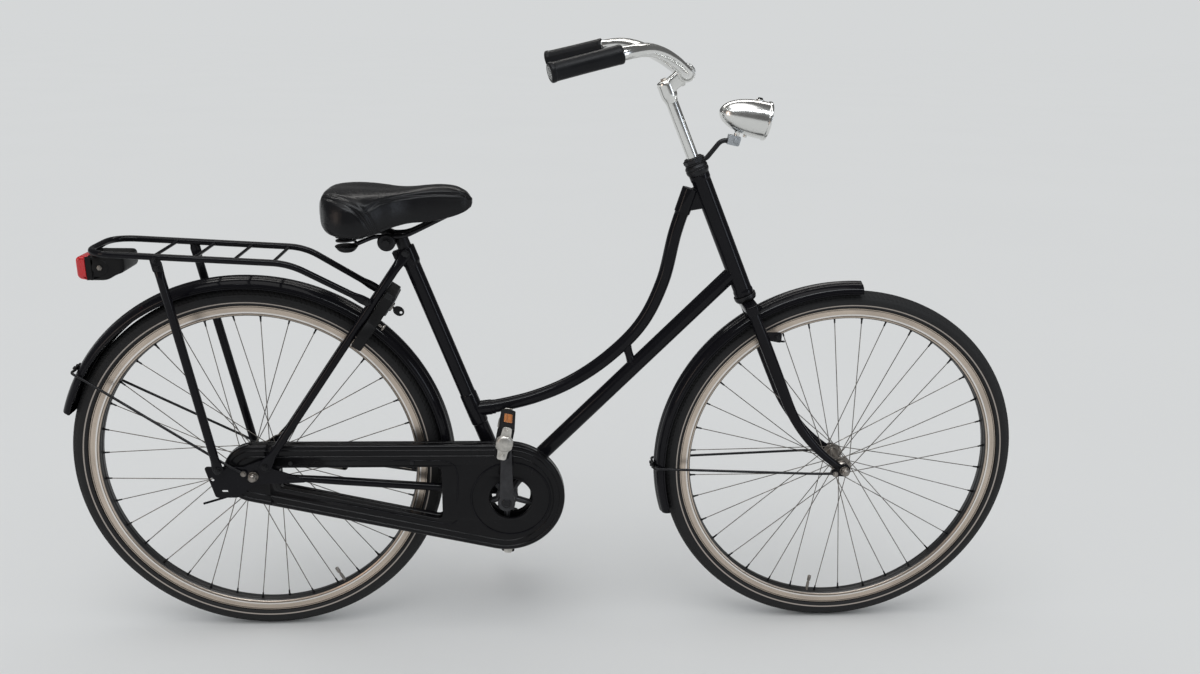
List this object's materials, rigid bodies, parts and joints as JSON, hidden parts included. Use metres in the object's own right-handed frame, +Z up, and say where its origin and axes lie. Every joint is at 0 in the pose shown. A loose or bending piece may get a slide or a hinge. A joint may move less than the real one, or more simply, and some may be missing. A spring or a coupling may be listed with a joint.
{
  "type": "dutch city bicycle",
  "caption": "Step-through city bicycle with a swan-curved top tube, enclosed chain case, coaster brake hub, tubular rear carrier, ring lock and sprung saddle.",
  "frame": {"origin": "on the ground, at the centre of the footprint of the whole bicycle", "axes": "+X to the front wheel, +Y to the rider's left, +Z up"},
  "size_m": [1.8694, 0.5798, 1.1696],
  "materials": {
    "black_paint": "gloss black paint",
    "case_black": "semi-gloss black lacquer",
    "tyre_rubber": "matte black rubber",
    "grip_rubber": "smooth black rubber",
    "vinyl": "smooth glossy black cover",
    "chrome": "bright chrome plate",
    "steel": "bare steel",
    "rim_steel": "polished stainless steel",
    "dark_steel": "dark plated steel",
    "plastic": "black moulded plastic",
    "red_lens": "translucent red lens",
    "clear_lens": "clear lens",
    "lock_grey": "dark grey shell"
  },
  "bodies": {
    "frame": {"head_tube": "black_paint", "top_tube": "black_paint", "down_tube": "black_paint", "seat_tube": "black_paint", "chainstay_right": "black_paint", "chainstay_left": "black_paint", "seatstay_right": "black_paint", "seatstay_left": "black_paint", "headset_lower_cup": "dark_steel", "headset_upper_cup": "dark_steel", "chain": "steel", "chain_case_outer": "case_black", "chain_case_inner": "case_black", "chain_case_nose": "case_black", "rear_axle": "steel", "brake_arm": "steel", "rear_fender": "black_paint", "rear_fender_stay": "dark_steel", "rack_frame": "black_paint", "rack_leg_right": "black_paint", "rack_leg_left": "black_paint", "rear_light_housing": "plastic", "rear_light_lens": "red_lens", "lock_body": "lock_grey"},
    "rear_wheel": {"rear_tyre": "tyre_rubber", "rear_rim": "rim_steel", "rear_hub": "steel"},
    "sprocket": {"rear_sprocket": "steel"},
    "crank": {"crank_axle": "steel", "chainring": "dark_steel", "crank_right": "dark_steel", "crank_left": "dark_steel"},
    "pedal_right": {"pedal_right": "plastic"},
    "pedal_left": {"pedal_left": "plastic"},
    "fork": {"fork_crown": "black_paint", "fork_blade_right": "black_paint", "fork_blade_left": "black_paint", "front_fender": "black_paint", "front_fender_stay": "dark_steel", "front_axle": "steel", "headset_locknut": "dark_steel", "lamp_bracket": "dark_steel"},
    "front_wheel": {"front_tyre": "tyre_rubber", "front_rim": "rim_steel", "front_hub": "steel"},
    "stem": {"stem": "chrome"},
    "handlebar": {"handlebar": "chrome", "grip_right": "grip_rubber", "grip_left": "grip_rubber"},
    "lamp": {"lamp_shell": "chrome", "lamp_lens": "clear_lens"},
    "lamp_button": {"lamp_button": "plastic"},
    "seat_post": {"seat_post": "chrome"},
    "saddle_frame": {"saddle_clamp": "dark_steel", "saddle_rails": "dark_steel", "saddle_spring_right": "dark_steel", "saddle_spring_left": "dark_steel"},
    "saddle_cushion": {"saddle_cover": "vinyl"},
    "lock_bolt": {"lock_bolt": "steel"},
    "lock_key": {"lock_key": "plastic"}
  },
  "joints": [
    {"name": "steering", "type": "hinge", "parent": "frame", "child": "fork", "pos_m": [0.26427, 0, 0.93495], "axis": [-0.3987, 0, 0.9171], "range_deg": [-60, 60]},
    {"name": "front_wheel_spin", "type": "hinge", "parent": "fork", "child": "front_wheel", "pos_m": [0.57773, 0, 0.357], "axis": [0, 1, 0], "continuous": true},
    {"name": "rear_wheel_spin", "type": "hinge", "parent": "frame", "child": "rear_wheel", "pos_m": [-0.57427, 0, 0.357], "axis": [0, 1, 0], "continuous": true},
    {"name": "crank_spin", "type": "hinge", "parent": "frame", "child": "crank", "pos_m": [-0.09227, 0, 0.303], "axis": [0, 1, 0], "continuous": true},
    {"name": "sprocket_spin", "type": "hinge", "parent": "frame", "child": "sprocket", "pos_m": [-0.57427, 0, 0.357], "axis": [0, 1, 0], "continuous": true},
    {"name": "pedal_right_spin", "type": "hinge", "parent": "crank", "child": "pedal_right", "pos_m": [-0.09227, 0, 0.473], "axis": [0, 1, 0], "continuous": true},
    {"name": "pedal_left_spin", "type": "hinge", "parent": "crank", "child": "pedal_left", "pos_m": [-0.09227, 0, 0.133], "axis": [0, 1, 0], "continuous": true},
    {"name": "stem_height", "type": "slide", "parent": "fork", "child": "stem", "axis": [-0.3987, 0, 0.9171], "range_m": [-0.04, 0.01]},
    {"name": "handlebar_tilt", "type": "hinge", "parent": "stem", "child": "handlebar", "pos_m": [0.2301, 0, 1.11637], "axis": [0, 1, 0], "range_deg": [-15, 15]},
    {"name": "lamp_tilt", "type": "hinge", "parent": "fork", "child": "lamp", "pos_m": [0.32827, 0, 0.99695], "axis": [0, 1, 0], "range_deg": [-12, 12]},
    {"name": "lamp_switch", "type": "slide", "parent": "lamp", "child": "lamp_button", "axis": [-0.1908, 0, -0.9816], "range_m": [0, 0.002], "stiffness_N_per_m": 400},
    {"name": "seat_height", "type": "slide", "parent": "frame", "child": "seat_post", "axis": [-0.3584, 0, 0.9336], "range_m": [0, 0.1]},
    {"name": "saddle_tilt", "type": "hinge", "parent": "seat_post", "child": "saddle_frame", "pos_m": [-0.31023, 0, 0.80587], "axis": [0, 1, 0], "range_deg": [-10, 10]},
    {"name": "saddle_springs", "type": "hinge", "parent": "saddle_frame", "child": "saddle_cushion", "pos_m": [-0.19223, 0, 0.85787], "axis": [0, 1, 0], "range_deg": [-3, 0], "stiffness_Nm_per_rad": 2400, "deforming": ["saddle_spring_right", "saddle_spring_left"]},
    {"name": "lock_bolt_turn", "type": "hinge", "parent": "frame", "child": "lock_bolt", "pos_m": [-0.35908, 0, 0.62803], "axis": [0.8298, 0, -0.5581], "range_deg": [-146, 0]},
    {"name": "lock_key_turn", "type": "hinge", "parent": "frame", "child": "lock_key", "pos_m": [-0.32426, -0.03, 0.69862], "axis": [0.8298, 0, -0.5581], "range_deg": [0, 90]}
  ],
  "couplings": [
    {"joint": "sprocket_spin", "follows": "crank_spin", "ratio": 2.3158}
  ]
}
